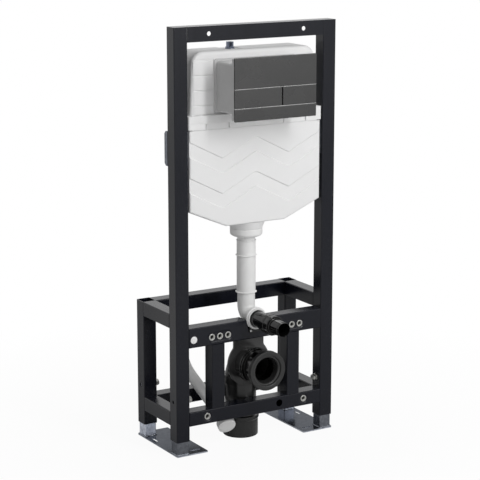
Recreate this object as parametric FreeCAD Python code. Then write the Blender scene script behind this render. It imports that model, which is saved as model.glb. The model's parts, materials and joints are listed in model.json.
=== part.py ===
# Wall hung toilet frame: a painted square tube frame on adjustable feet, with a cistern, a flush plate
# on its access shaft, a flush pipe and a waste elbow.
# Millimetres. X runs to the right, Y to the wall behind and Z up. While the pieces are made, Y is 0 on
# the front plane of the tubes. They are saved with the origin on the floor, in the middle of the plan.
import FreeCAD, Part
import math
import os

V = FreeCAD.Vector
X, Y, Z = V(1, 0, 0), V(0, 1, 0), V(0, 0, 1)
FRONT = V(0, -1, 0)

# Steel frame
frame_width = 500.0
frame_height = 1155.0
frame_depth = 226.0
tube = 40.0
tube_wall = 2.0
tube_corner = 3.0
post_end_height = 40.0
low_frame_height = 392.0
lower_bar_base = 80.0
bowl_bar_drop = 55.0
bowl_bar_height = 55.0
inner_post_spacing = 240.0

# Holes and fastenings in the bars
wall_hole_spacing = 292.0
wall_hole = 12.0
stud_spacings = (180.0, 230.0, 280.0)
stud_drop = 33.0
stud_bore = 12.0
insert_flange = 18.5
insert_flange_thickness = 1.2
insert_shank = 15.0
insert_length = 18.0
lower_insert_spacing = 310.0
lower_insert_height = 101.0
recess_margin = 5.5
recess_depth = 1.2
service_hole = 20.0
service_hole_x = 75.0
plug_size = 20.0
plug_edge = 14.0
notch_top_width = 65.4
notch_floor_width = 49.0
notch_floor_drop = 35.4
peg = 6.0
peg_spacing = 39.0
peg_head = 1.5

# Feet
leg = 35.0
leg_wall = 2.5
leg_corner = 2.5
leg_top = 330.0
foot_width = 95.0
foot_thickness = 4.0
foot_overhang = 2.0
foot_corner = 3.0
rear_slot_length = 34.0
rear_slot_width = 9.0
rear_slot_edge = 15.0
rear_slot_y = 152.0
front_slot_length = 32.0
front_slot_width = 8.5
front_slot_inset = 27.0
front_slot_y = 23.0

# Clamp bolts for the legs
clamp_height = 151.0
clamp_shank = 10.0
clamp_nut = 19.0
clamp_nut_length = 6.0
clamp_head = 16.0
clamp_head_length = 8.0
clamp_access_hole = 9.0

# Cistern brackets on the uprights
bracket_height = 92.0
bracket_sheet = 2.5
bracket_lip = 15.5
bracket_chamfer = 7.0
bracket_tongue = 34.0

# Cistern, set down from the frame's top and in from the uprights
cover_drop = 67.0
cover_height = 202.0
tank_height = 263.5
tank_side_gap = 6.0
tank_front = 3.0
tank_back = 108.0
tank_floor_half_width = 92.0
tank_shoulder_rise = 48.0
tank_edge_round = 5.0
tank_shell = 5.0
band_depth = 3.0
band_slope = 2.8
band_drop = 25.5
band_rise = 52.0
band_height = 43.0
band_pitch = 95.0
band_outer_round = 22.0
band_inner_round = 4.0
outlet_boss_top = 52.0
outlet_boss_bottom = 44.5
outlet_boss_length = 20.0
outlet_bore = 20.0
joint_gap = 2.5
joint_inset = 8.0
skirt_side_gap = 3.0
skirt_front = 2.0
skirt_height = 36.0
clip_inner_x = 85.0
clip_outer_x = 155.0
clip_slot_width = 4.0
clip_slot_depth = 4.0
clip_slot_height = 14.0
clip_pocket_depth = 1.5
clip_pocket_height = 10.0
cover_side_gap = 13.0
cover_taper = 7.0
cover_front = 11.0
cover_back = 95.0
cover_corner = 36.0
cover_edge_round = 9.0
cover_shell = 5.0
groove_drop = 21.0
groove_pitch = 39.0
groove_count = 4
groove_width = 3.0
groove_depth = 1.6
groove_length = 58.0
groove_edge = 11.0
inlet_x = -48.0
inlet_y = 60.0
inlet_recess = 46.0
inlet_recess_depth = 2.0
inlet_base = 26.0
inlet_base_height = 3.0
inlet_nut = 22.0
inlet_nut_height = 3.0
inlet_stub = 20.8
inlet_stub_height = 13.0
inlet_bore = 10.0

# Access shaft and flush plate
shaft_side_inset = 5.0
shaft_inset = 16.5
shaft_wall = 3.0
shaft_corner = 8.0
shaft_flange = 6.0
shaft_flange_thickness = 4.0
shaft_skirt_gap = 2.0
plate_reach = 95.0
plate_width = 250.0
plate_height = 165.0
plate_thickness = 5.0
plate_corner = 1.5
lower_panel_height = 33.6
button_height = 51.0
button_gap = 4.0
button_thickness = 4.0
button_seam = 0.8
full_button_width = 143.0
button_travel = 6.0
carrier_depth = 14.0
carrier_inset = 3.0
carrier_wall = 3.0
stem = 7.0
stem_clearance = 0.3
stem_inset = 24.0
stem_length = 24.0
guide_boss = 13.0

# Flush pipe
flush_pipe_y = 55.0
flush_axis_height = 354.0
flush_bend_radius = 30.0
flush_outer = 52.0
flush_tail_outer = 48.5
flush_wall = 2.5
flush_step_rise = 33.0
flush_neck = 7.0
flush_bead_drop = 80.0
flush_bead = 59.0
flush_bead_length = 5.0
nut_outer = 89.0
nut_length = 17.0
nut_cone = 10.0
nut_throat = 52.0
socket_outer = 62.0
socket_length = 14.0
socket_front = -5.0
socket_lip = 2.0
connector_outer = 45.0
connector_bore = 35.0
connector_insert = 9.0
coupling_outer = 55.0
coupling_start = -60.0
coupling_length = 35.0
coupling_flat = 24.0
sleeve_outer = 41.0
connector_reach = 139.0
sleeve_chamfer = 2.0
fit_clearance = 0.3

# Waste
waste_axis_height = 220.0
waste_reach = 60.0
waste_bend_radius = 60.0
waste_outlet_y = 85.0
waste_outer = 88.0
waste_wall = 3.5
flange_outer = 110.0
flange_length = 14.0
spigot_end = 6.0
spigot_rib = 103.0
spigot_rib_length = 4.0
spigot_rib_pitch = 9.0
seal_bore = 76.0
seal_length = 7.0
seal_depth = 5.0
seal_outer = 94.0
seal_lip_bore = 64.0
seal_lip_length = 20.0
seal_lip_wall = 2.5
mouth_bore = 84.0
tab_width = 95.0
tab_thickness = 6.0
tab_drop = 26.0
tab_collar = 132.0
tab_neck_round = 14.0
elbow_collar = 97.0
elbow_collar_length = 24.0
elbow_socket_depth = 14.0
outlet_top = 168.0
outlet_socket = 98.0
outlet_socket_top = 62.0
outlet_socket_bead = 103.0
outlet_socket_bead_length = 9.0
outlet_bottom = 3.0

# Capped stub pipe that lies on the rear rail
stub_outer = 32.0
stub_wall = 2.0
stub_socket = 50.0
stub_socket_length = 20.0
stub_length = 212.0
stub_nose = 20.0
stub_x = -71.0
stub_lean = -5.0
stub_nose_lean = 8.0
stub_cap = 4.0
stub_bend_radius = 90.0
stub_bend_turn = 32.0
stub_tail = 40.0

half_width = frame_width / 2
inner_face = half_width - tube
lower_bar_top = lower_bar_base + tube
bowl_bar_base = flush_axis_height - bowl_bar_drop
bowl_bar_top = bowl_bar_base + bowl_bar_height
stud_height = flush_axis_height - stud_drop
notch_floor_height = flush_axis_height - notch_floor_drop
tab_top = flush_axis_height - tab_drop
rear_front = frame_depth - tube
rear_rail_base = low_frame_height - tube
cover_top = frame_height - cover_drop
skirt_base = cover_top - cover_height
skirt_top = skirt_base + skirt_height
tank_top = skirt_base - joint_gap
tank_floor = tank_top - tank_height
tank_half_width = inner_face - tank_side_gap
skirt_half_width = inner_face - skirt_side_gap
cover_half_width = inner_face - cover_side_gap
nut_top = tank_floor - outlet_boss_length
SIDES = (("left", -1), ("right", 1))


def block(low, high):
    """Box between two opposite corners."""
    size = high - low
    return Part.makeBox(size.x, size.y, size.z, low)


def edges_along(shape, run):
    """Straight edges of a shape that run along an axis."""
    found = []
    for edge in shape.Edges:
        if isinstance(edge.Curve, Part.Line) and abs(edge.Curve.Direction * run) > 0.999:
            found.append(edge)
    return found


def round_block(low, high, run, radius):
    """Box with the four edges along one axis rounded."""
    box = block(low, high)
    return box.makeFillet(radius, edges_along(box, run))


def square_tube(low, high, run, closed_top=False):
    """Hollow tube between two corners, open at its ends, or closed at the upper one by a welded plate."""
    across = V(1, 1, 1) - run
    end = high - across * tube_wall + run * (-tube_wall if closed_top else tube_wall)
    cavity = round_block(low + across * tube_wall - run * tube_wall, end, run, tube_corner - tube_wall)
    return round_block(low, high, run, tube_corner).cut(cavity)


def rod(diameter, length, start, direction):
    """Round bar from a point along a direction."""
    return Part.makeCylinder(diameter / 2, length, start, direction)


def ring(outer, inner, length, start, direction):
    """Round sleeve from a point along a direction."""
    return rod(outer, length, start, direction).cut(rod(inner, length, start, direction))


def turned(profile, start, direction):
    """Solid turned from points of (diameter, distance along the axis)."""
    points = [V(diameter / 2, 0, distance) for diameter, distance in profile]
    face = Part.Face(Part.makePolygon(points + points[:1]))
    solid = face.revolve(V(0, 0, 0), Z, 360)
    solid.Placement = FreeCAD.Placement(start, FreeCAD.Rotation(Z, direction))
    return solid


def bent_rod(diameter, points, radius):
    """Round bar along two runs, joined by an arc at the middle point."""
    start, corner, end = points
    back = (start - corner).normalize()
    ahead = (end - corner).normalize()
    half_angle = back.getAngle(ahead) / 2
    arc_start = corner + back * (radius / math.tan(half_angle))
    arc_end = corner + ahead * (radius / math.tan(half_angle))
    centre = corner + (back + ahead).normalize() * (radius / math.sin(half_angle))
    section = Part.Face(Part.Wire(Part.Circle(arc_start, back, diameter / 2).toShape()))
    bar = section.revolve(centre, ahead.cross(back), 180 - 2 * math.degrees(half_angle))
    bar = bar.fuse(rod(diameter, (start - arc_start).Length, arc_start, back))
    return bar.fuse(rod(diameter, (end - arc_end).Length, arc_end, ahead))


def hexagon(across_flats, length, start, direction):
    """Hexagonal bar from a point along a direction."""
    corner = across_flats / math.sqrt(3)
    turns = [math.radians(60 * step) for step in range(7)]
    outline = Part.makePolygon([V(corner * math.cos(turn), corner * math.sin(turn), 0) for turn in turns])
    bar = Part.Face(outline).extrude(Z * length)
    bar.Placement = FreeCAD.Placement(start, FreeCAD.Rotation(Z, direction))
    return bar


def oblong(length, width, depth, centre, along, direction):
    """Round ended bar: length runs along one axis, depth along another."""
    half = (length - width) / 2
    side = along.cross(direction)
    low = centre - along * half - side * (width / 2)
    flat = Part.makePolygon([low, low + along * half * 2, low + along * half * 2 + side * width,
                             low + side * width, low])
    bar = Part.Face(flat).extrude(direction * depth)
    for end in (-half, half):
        bar = bar.fuse(rod(width, depth, centre + along * end, direction))
    return bar.removeSplitter()


# Line of the stub pipe and the part's origin
def stub_line():
    """Point where the stub pipe lies under the lower bar, and its slope on to the rear rail."""
    front_corner = V(0, tube - tube_corner, lower_bar_base + tube_corner)
    rear_corner = V(0, rear_front + tube_corner, lower_bar_top - tube_corner)
    front_gap = tube_corner + fit_clearance + stub_socket / 2
    rear_gap = tube_corner + fit_clearance + stub_outer / 2
    span = rear_corner - front_corner
    pitch = math.atan2(span.z, span.y) + math.asin((front_gap + rear_gap) / span.Length)
    under = front_corner + V(0, math.sin(pitch), -math.cos(pitch)) * front_gap
    return V(stub_x, 0, 0) + under, pitch


def stub_heading(lean):
    """Direction of the stub pipe for a lean to the side, in degrees."""
    return V(math.tan(math.radians(lean)), math.cos(stub_pitch), math.sin(stub_pitch)).normalize()


stub_knee, stub_pitch = stub_line()
stub_nose_run = stub_heading(stub_nose_lean)
stub_run = stub_heading(stub_lean)
stub_start = stub_knee - stub_nose_run * stub_nose
stub_bend = stub_knee + stub_run * stub_length
stub_rise = FreeCAD.Rotation(X, stub_bend_turn).multVec(stub_run)
stub_end = stub_bend + stub_rise * stub_tail
rear_reach = stub_end.y + stub_outer / 2 * math.sqrt(1 - stub_rise.y ** 2)
origin = V(0, (rear_reach - connector_reach) / 2, 0)


def save(name, shape):
    """Write one sub-part, moved to the part's own origin."""
    placed = shape.copy()
    placed.translate(origin * -1)
    placed.exportStep("parts/" + name + ".step")


# Steel frame
def upright(side):
    low = V(min(side * half_width, side * inner_face), 0, post_end_height)
    post = square_tube(low, low + V(tube, tube, frame_height - post_end_height), Z, True)
    return post.cut(leg_holes(side, tube / 2))


def rear_post(side):
    low = V(min(side * half_width, side * inner_face), rear_front, post_end_height)
    post = square_tube(low, low + V(tube, tube, low_frame_height - post_end_height), Z)
    return post.cut(leg_holes(side, frame_depth - tube / 2))


def leg_holes(side, y):
    """Clamp bolt hole in the inner wall and access hole in the outer wall of one post."""
    inner = rod(clamp_shank + 2 * fit_clearance, 2 * tube_wall,
                V(side * (inner_face - tube_wall / 2), y, clamp_height), X * side)
    outer = rod(clamp_access_hole, 2 * tube_wall,
                V(side * (half_width + tube_wall / 2), y, clamp_height), X * -side)
    return inner.fuse(outer)


def crossbar(base, height, front):
    low = V(-inner_face, front, base)
    return square_tube(low, V(inner_face, front + tube, base + height), X)


def side_rail(side, base):
    low = V(min(side * half_width, side * inner_face), tube, base)
    return square_tube(low, V(low.x + tube, rear_front, base + tube), Y)


def inner_post(side):
    middle = side * inner_post_spacing / 2
    low = V(middle - tube / 2, 0, lower_bar_top)
    return square_tube(low, V(middle + tube / 2, tube, bowl_bar_base), Z)


def top_crossbar():
    """Channel with its web in front and its back open, so that the wall bolts can be reached."""
    low = V(-inner_face, 0, frame_height - tube)
    high = V(inner_face, tube, frame_height)
    hollow = block(low + V(0, tube_wall, tube_wall), high + V(0, tube_wall, -tube_wall))
    bar = block(low, high).cut(hollow)
    for side in (-1, 1):
        at = V(side * wall_hole_spacing / 2, -tube_wall, frame_height - tube / 2)
        bar = bar.cut(rod(wall_hole, 3 * tube_wall, at, Y))
    return bar


plug_place = V(plug_edge - inner_face, 0, stud_height)


def peg_places():
    """Centres of the two pegs that hold the saddle in the notch, on the saddle's front face."""
    height = notch_floor_height + peg / 2 + fit_clearance * 3
    return [V(side * peg_spacing / 2, socket_front + socket_lip, height) for side in (-1, 1)]


def stud_places():
    """Centres of the bowl bolt inserts on the front plane."""
    return [V(side * spacing / 2, 0, stud_height) for side in (-1, 1) for spacing in stud_spacings]


def bowl_crossbar():
    bar = crossbar(bowl_bar_base, bowl_bar_height, 0)
    recess_width = insert_flange + 2 * recess_margin
    recess_length = (max(stud_spacings) - min(stud_spacings)) / 2 + recess_width
    for side in (-1, 1):
        middle = side * (max(stud_spacings) + min(stud_spacings)) / 4
        bar = bar.cut(oblong(recess_length, recess_width, recess_depth, V(middle, 0, stud_height), X, Y))
    for place in stud_places():
        bar = bar.cut(rod(insert_shank + 2 * fit_clearance, 2 * tube_wall, place, Y))
    bar = bar.cut(rod(plug_size - 4 * fit_clearance, 2 * tube_wall, plug_place, Y))
    outline = Part.makePolygon([
        V(-notch_top_width / 2, 0, bowl_bar_top),
        V(-notch_floor_width / 2, 0, notch_floor_height),
        V(notch_floor_width / 2, 0, notch_floor_height),
        V(notch_top_width / 2, 0, bowl_bar_top),
        V(-notch_top_width / 2, 0, bowl_bar_top),
    ])
    return bar.cut(Part.Face(outline).extrude(Y * tube))


def lower_crossbar():
    bar = crossbar(lower_bar_base, tube, 0)
    for side in (-1, 1):
        place = V(side * lower_insert_spacing / 2, 0, lower_insert_height)
        bar = bar.cut(rod(insert_flange + 2 * recess_margin, recess_depth, place, Y))
        bar = bar.cut(rod(insert_shank + 2 * fit_clearance, 2 * tube_wall, place, Y))
    return bar.cut(rod(service_hole, 2 * tube_wall, V(service_hole_x, 0, lower_insert_height), Y))


def insert(place):
    """Threaded rivet nut: a flange in the bar's recess and a shank through its wall."""
    shank_start = recess_depth
    profile = (
        (stud_bore, shank_start - insert_flange_thickness),
        (insert_flange, shank_start - insert_flange_thickness),
        (insert_flange, shank_start),
        (insert_shank, shank_start),
        (insert_shank, shank_start + insert_length),
        (stud_bore, shank_start + insert_length),
    )
    return turned(profile, place, Y)


def clamp_bolt(side, y):
    """Bolt with a weld nut on the post's inner face, its tip close to the leg."""
    face = V(side * inner_face, y, clamp_height)
    outward = X * -side
    tip = (tube - leg) / 2 - fit_clearance
    bolt = rod(clamp_shank, tip, face, X * side)
    bolt = bolt.fuse(hexagon(clamp_nut, clamp_nut_length, face, outward))
    return bolt.fuse(hexagon(clamp_head, clamp_head_length, face + outward * clamp_nut_length, outward))


def cistern_bracket(side):
    """Folded strip: a lip behind the post, a leaf on its back and a tongue beside the cistern."""
    tongue = skirt_side_gap - fit_clearance
    base = tank_top - bracket_height
    outline = Part.makePolygon([V(side * x, y, base) for x, y in (
        (half_width, tube),
        (half_width, tube + bracket_lip),
        (half_width - bracket_sheet, tube + bracket_lip),
        (half_width - bracket_sheet, tube + bracket_sheet),
        (inner_face - tongue, tube + bracket_sheet),
        (inner_face - tongue, tube - bracket_tongue),
        (inner_face, tube - bracket_tongue),
        (inner_face, tube),
        (half_width, tube),
    )])
    strip = Part.Face(outline).extrude(Z * bracket_height)
    lip_edges = []
    for edge in edges_along(strip, X):
        if abs(edge.BoundBox.YMax - tube - bracket_lip) < fit_clearance:
            lip_edges.append(edge)
    return strip.makeChamfer(bracket_chamfer, lip_edges)


def make_frame():
    for name, side in SIDES:
        save("upright_" + name, upright(side))
        save("rear_post_" + name, rear_post(side))
        save("inner_post_" + name, inner_post(side))
        save("upper_side_rail_" + name, side_rail(side, rear_rail_base))
        save("lower_side_rail_" + name, side_rail(side, lower_bar_base))
    save("top_crossbar", top_crossbar())
    save("bowl_crossbar", bowl_crossbar())
    save("lower_crossbar", lower_crossbar())
    save("rear_top_rail", crossbar(rear_rail_base, tube, rear_front))
    save("rear_lower_rail", crossbar(lower_bar_base, tube, rear_front))
    lower_places = [V(side * lower_insert_spacing / 2, 0, lower_insert_height) for side in (-1, 1)]
    save("bolt_inserts", Part.makeCompound([insert(place) for place in stud_places() + lower_places]))
    save("cistern_brackets", Part.makeCompound([cistern_bracket(side) for side in (-1, 1)]))
    bolt_depths = (tube / 2, frame_depth - tube / 2)
    bolts = [clamp_bolt(side, y) for side in (-1, 1) for y in bolt_depths]
    save("leg_clamp_bolts", Part.makeCompound(bolts))
    plug_head = rod(plug_size, insert_flange_thickness, plug_place, FRONT)
    plug_shank = rod(plug_size - 6 * fit_clearance, 2 * tube_wall, plug_place, Y)
    peg_length = peg_head + socket_length - socket_lip
    pegs = [rod(peg, peg_length, place - Y * peg_head, Y) for place in peg_places()]
    save("crossbar_plug", Part.makeCompound([plug_head.fuse(plug_shank)] + pegs))


# Feet
def foot_plate(side):
    outer = side * half_width
    low = V(min(outer, outer - side * foot_width), -foot_overhang, 0)
    high = V(low.x + foot_width, frame_depth + foot_overhang, foot_thickness)
    plate = round_block(low, high, Z, foot_corner)
    rear = V(outer - side * rear_slot_edge, rear_slot_y, 0)
    plate = plate.cut(oblong(rear_slot_length, rear_slot_width, foot_thickness, rear, Y, Z))
    front = V(outer - side * (foot_width - front_slot_inset), front_slot_y, 0)
    return plate.cut(oblong(front_slot_length, front_slot_width, foot_thickness, front, X, Z))


def foot_leg(side, y):
    """Square leg that stands on the foot plate and runs up inside a post."""
    centre = V(side * (half_width - tube / 2), y, 0)
    half = V(leg / 2, leg / 2, 0)
    outer = round_block(centre - half + Z * foot_thickness, centre + half + Z * leg_top, Z, leg_corner)
    thin = V(leg_wall, leg_wall, 0)
    return outer.cut(block(centre - half + thin + Z * foot_thickness, centre + half - thin + Z * leg_top))


def make_feet():
    for name, side in SIDES:
        save("foot_plate_" + name, foot_plate(side))
        save("front_leg_" + name, foot_leg(side, tube / 2))
        save("rear_leg_" + name, foot_leg(side, frame_depth - tube / 2))


# Cistern
def front_prism(points, front, back):
    """Solid with an outline of (x, z) points, from one Y to another."""
    corners = [V(x, front, z) for x, z in points]
    return Part.Face(Part.makePolygon(corners + corners[:1])).extrude(Y * (back - front))


def tank_body(inset, top):
    """Tank outline: straight sides and a floor that slopes up to both shoulders."""
    side = tank_half_width - inset
    slope = math.atan2(tank_shoulder_rise, tank_half_width - tank_floor_half_width)
    floor = tank_floor + inset
    floor_side = tank_floor_half_width - inset * math.tan(slope / 2)
    shoulder = floor + (side - floor_side) * math.tan(slope)
    points = ((-side, top), (-side, shoulder), (-floor_side, floor),
              (floor_side, floor), (side, shoulder), (side, top))
    return front_prism(points, tank_front + inset, tank_back - inset)


def zigzag_band(edge):
    """Cutter for a sunk band with sloped edges that falls and rises twice across the front."""
    side = tank_half_width + band_depth
    xs = (-side, -side / 2, 0, side / 2, side)
    upper = [(x, edge - band_rise * (step % 2)) for step, x in enumerate(xs)]
    lower = [(x, z - band_height) for x, z in reversed(upper)]
    band = front_prism(upper + lower, tank_front - band_depth, tank_front + band_depth)
    outer, inner = [], []
    for line in edges_along(band, Y):
        turn = line.Vertexes[0]
        if abs(turn.X) > side - band_depth:
            continue
        crest = abs(turn.X) < band_depth
        middle = edge - band_height / 2 - (0 if crest else band_rise)
        (outer if (turn.Z > middle) == crest else inner).append(line)
    band = band.makeFillet(band_outer_round, outer)
    middles = [line.CenterOfMass for line in inner]
    inner_turns = [line for line in edges_along(band, Y)
                   if any(line.CenterOfMass.distanceToPoint(middle) < band_depth for middle in middles)]
    band = band.makeFillet(band_inner_round, inner_turns)
    floor = tank_front + band_depth - fit_clearance
    return band.makeChamfer(band_slope, [line for line in band.Edges if line.BoundBox.YMin > floor])


def cistern_tank():
    body = tank_body(0, tank_top)
    body = body.makeFillet(tank_edge_round, [edge for edge in body.Edges
                                             if edge.BoundBox.YMax < tank_front + fit_clearance
                                             and edge.BoundBox.ZMax < tank_top + fit_clearance
                                             and edge.BoundBox.ZMin < tank_top - fit_clearance])
    for level in range(2):
        body = body.cut(zigzag_band(tank_top - band_drop - level * band_pitch))
    neck = tank_body(joint_inset, tank_top + joint_gap)
    boss = turned(((0, 0), (outlet_boss_bottom * 2, 0), (outlet_boss_top * 2, outlet_boss_length),
                   (0, outlet_boss_length)),
                  V(0, flush_pipe_y, tank_floor - outlet_boss_length), Z)
    body = body.fuse(neck).fuse(boss)
    body = body.cut(tank_body(joint_inset + tank_shell, tank_top + joint_gap))
    drain = rod(outlet_bore * 2, 3 * outlet_boss_length, V(0, flush_pipe_y, nut_top), Z)
    return body.cut(drain).removeSplitter()


def cover_body(inset, base):
    """Cover outline: sides that lean in a little and large round top corners."""
    top = cover_top - inset
    wide = cover_half_width - inset
    narrow = wide - cover_taper
    points = ((-wide, base), (wide, base), (narrow, top), (-narrow, top))
    body = front_prism(points, cover_front + inset, cover_back - inset)
    corners = [edge for edge in edges_along(body, Y) if edge.Vertexes[0].Z > top - fit_clearance]
    return body.makeFillet(cover_corner - inset, corners)


def cover_grooves(side):
    """Level grooves down one side of the cover's front, the upper two joined by an upright one."""
    outer = side * (cover_half_width - groove_edge)
    inner = outer - side * groove_length
    depth = V(0, groove_depth, 0)
    half = V(groove_width / 2, 0, groove_width / 2)
    cuts = []
    for count in range(groove_count):
        height = cover_top - groove_drop - count * groove_pitch
        low = V(min(outer, inner), cover_front, height)
        cuts.append(block(low - half - depth, low + X * groove_length + half + depth))
    top = V(inner, cover_front, cover_top - groove_drop)
    cuts.append(block(top - Z * groove_pitch - half - depth, top + half + depth))
    return cuts


def clip_cuts(side):
    """Two clip slots in one half of the skirt and the shallow pocket between them."""
    cuts = []
    for place in (clip_inner_x, clip_outer_x):
        low = V(side * place - clip_slot_width / 2, skirt_front, skirt_base)
        cuts.append(block(low, low + V(clip_slot_width, clip_slot_depth, clip_slot_height)))
    low = V(min(side * clip_inner_x, side * clip_outer_x), skirt_front, skirt_base)
    cuts.append(block(low, low + V(clip_outer_x - clip_inner_x, clip_pocket_depth, clip_pocket_height)))
    return cuts


def cistern_cover():
    cover = cover_body(0, skirt_top)
    rims = [edge for edge in cover.Edges if edge.BoundBox.YMax < cover_front + fit_clearance
            and edge.BoundBox.ZMax > skirt_top + fit_clearance]
    cover = cover.makeFillet(cover_edge_round, rims)
    skirt = round_block(V(-skirt_half_width, skirt_front, skirt_base),
                        V(skirt_half_width, tank_back, skirt_top), Z, tank_edge_round)
    cover = cover.fuse(skirt)
    cover = cover.cut(cover_body(cover_shell, skirt_base))
    for side in (-1, 1):
        for cut in cover_grooves(side) + clip_cuts(side):
            cover = cover.cut(cut)
    recess_low = V(inlet_x - inlet_recess / 2, inlet_y - inlet_recess / 2, cover_top - inlet_recess_depth)
    recess_high = V(inlet_x + inlet_recess / 2, cover_back, cover_top)
    cover = cover.cut(block(recess_low, recess_high))
    hole = rod(inlet_stub, 3 * cover_shell, V(inlet_x, inlet_y, cover_top - 2 * cover_shell), Z)
    return cover.cut(hole).removeSplitter()


def inlet_fitting():
    foot = V(inlet_x, inlet_y, cover_top - inlet_recess_depth)
    body = rod(inlet_base, inlet_base_height, foot, Z)
    body = body.fuse(hexagon(inlet_nut, inlet_nut_height, foot + Z * inlet_base_height, Z))
    stub_foot = foot + Z * (inlet_base_height + inlet_nut_height)
    body = body.fuse(rod(inlet_stub, inlet_stub_height, stub_foot, Z))
    bore = rod(inlet_bore, inlet_base_height + inlet_nut_height + inlet_stub_height, foot, Z)
    return body.cut(bore)


# Access shaft and flush plate
carrier_front = plate_thickness - plate_reach
carrier_back = carrier_front + carrier_depth
web_front = carrier_back - carrier_wall
button_back = button_thickness - plate_reach
pressed_back = button_back + button_travel + fit_clearance
plate_half = plate_width / 2
shaft_half_width = plate_half - shaft_side_inset
shaft_base = skirt_top + shaft_skirt_gap + shaft_flange
shaft_top = shaft_base + plate_height - 2 * shaft_inset
plate_base = shaft_base - shaft_inset
plate_top = plate_base + plate_height
buttons_base = plate_base + lower_panel_height
buttons_top = buttons_base + button_height
full_button_edge = full_button_width - plate_half


def access_shaft():
    outer = round_block(V(-shaft_half_width, carrier_back, shaft_base),
                        V(shaft_half_width, cover_front, shaft_top), Y, shaft_corner)
    rim = V(shaft_flange, 0, shaft_flange)
    flange = round_block(V(-shaft_half_width, cover_front - shaft_flange_thickness, shaft_base) - rim,
                         V(shaft_half_width, cover_front, shaft_top) + rim, Y, shaft_corner)
    thin = V(shaft_wall, 0, shaft_wall)
    inner = round_block(V(-shaft_half_width, carrier_back, shaft_base) + thin,
                        V(shaft_half_width, cover_front, shaft_top) - thin, Y, shaft_corner - shaft_wall)
    return outer.fuse(flange).cut(inner).removeSplitter()


def button_span(kind):
    """Left and right edge of one button."""
    if kind == "full":
        return -plate_half, full_button_edge
    return full_button_edge + button_gap, plate_half


def stem_places(kind):
    left, right = button_span(kind)
    height = (buttons_base + buttons_top) / 2
    return [V(x, 0, height) for x in (left + stem_inset, right - stem_inset)]


def plate_carrier():
    """Tray behind the plate: a rim that the panels clip on, and a web with the buttons' guides."""
    rim = carrier_inset
    low = V(-plate_half + rim, carrier_front, plate_base + rim)
    high = V(plate_half - rim, carrier_back, plate_top - rim)
    thin = V(carrier_wall, 0, carrier_wall)
    tray = block(low, high).cut(block(low + thin, V(high.x, web_front, high.z) - thin))
    window = block(V(-plate_half, carrier_front, buttons_base - button_seam),
                   V(plate_half, pressed_back, buttons_top + button_seam))
    tray = tray.cut(window)
    guide = stem + 2 * stem_clearance
    for kind in ("full", "half"):
        for place in stem_places(kind):
            tray = tray.fuse(rod(guide_boss, web_front - pressed_back, place + Y * pressed_back, Y))
            tray = tray.cut(rod(guide, carrier_depth, place + Y * carrier_front, Y))
    return tray


def plate_panel(base, top):
    low = V(-plate_half, -plate_reach, base)
    return round_block(low, V(plate_half, carrier_front, top), Y, plate_corner)


def flush_button(kind):
    left, right = button_span(kind)
    low = V(left, -plate_reach, buttons_base + button_seam)
    high = V(right, button_back, buttons_top - button_seam)
    button = round_block(low, high, Y, plate_corner)
    for place in stem_places(kind):
        button = button.fuse(rod(stem, stem_length, place + Y * high.y, Y))
    return button


def make_cistern():
    save("cistern_tank", cistern_tank())
    save("cistern_cover", cistern_cover())
    save("inlet_fitting", inlet_fitting())
    save("access_shaft", access_shaft())
    save("plate_carrier", plate_carrier())
    save("flush_plate_upper", plate_panel(buttons_top, plate_top))
    save("flush_plate_lower", plate_panel(plate_base, buttons_base))
    save("full_flush_button", flush_button("full"))
    save("half_flush_button", flush_button("half"))


# Flush pipe
nut_bottom = nut_top - nut_length - nut_cone
flush_axis = V(0, 0, flush_axis_height)


def flush_collar_nut():
    bore = flush_tail_outer + 2 * fit_clearance
    profile = (
        (bore, 0),
        (nut_throat, 0),
        (nut_outer, nut_cone),
        (nut_outer, nut_cone + nut_length),
        (bore, nut_cone + nut_length),
    )
    return turned(profile, V(0, flush_pipe_y, nut_bottom), Z)


def flush_pipe():
    """Pipe bent forward, with a wider sleeve and two beads, and a socket in the bowl bar's notch."""
    foot = V(0, flush_pipe_y, flush_axis_height)
    top = foot + Z * (nut_top - flush_axis_height)
    mouth = flush_axis + Y * socket_front
    step = foot + Z * (flush_bend_radius + flush_step_rise)
    sleeve = rod(flush_outer, nut_bottom - flush_neck - step.z, step, Z)
    bead_profile = ((0, 0), (flush_outer, 0), (flush_bead, flush_bead_length / 2),
                    (flush_outer, flush_bead_length), (0, flush_bead_length))
    for base in (step, top - Z * flush_bead_drop):
        sleeve = sleeve.fuse(turned(bead_profile, base, Z))
    socket = turned((
        (0, 0),
        (socket_outer - 2 * socket_lip, 0),
        (socket_outer, socket_lip),
        (socket_outer, socket_length - socket_lip),
        (socket_outer - 2 * socket_lip, socket_length),
        (0, socket_length),
    ), mouth, Y)
    pipe = bent_rod(flush_tail_outer, (top, foot, mouth), flush_bend_radius).fuse(sleeve).fuse(socket)
    pipe = pipe.cut(bent_rod(flush_tail_outer - 2 * flush_wall, (top, foot, mouth), flush_bend_radius))
    seat = rod(connector_outer + 2 * fit_clearance, connector_insert, mouth, Y)
    return pipe.cut(seat).removeSplitter()


def flush_cradle():
    """Saddle on the notch floor that carries the bend's socket."""
    width = notch_floor_width - 4 * fit_clearance
    top = flush_axis_height - socket_outer / 4
    low = V(-width / 2, socket_front + socket_lip, notch_floor_height)
    saddle = block(low, V(width / 2, socket_front + socket_length, top))
    for place in peg_places():
        saddle = saddle.cut(rod(peg + 2 * fit_clearance, socket_length, place, Y))
    return saddle.cut(rod(socket_outer + 2 * fit_clearance, 4 * socket_length,
                          flush_axis - Y * socket_length, Y))


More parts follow.
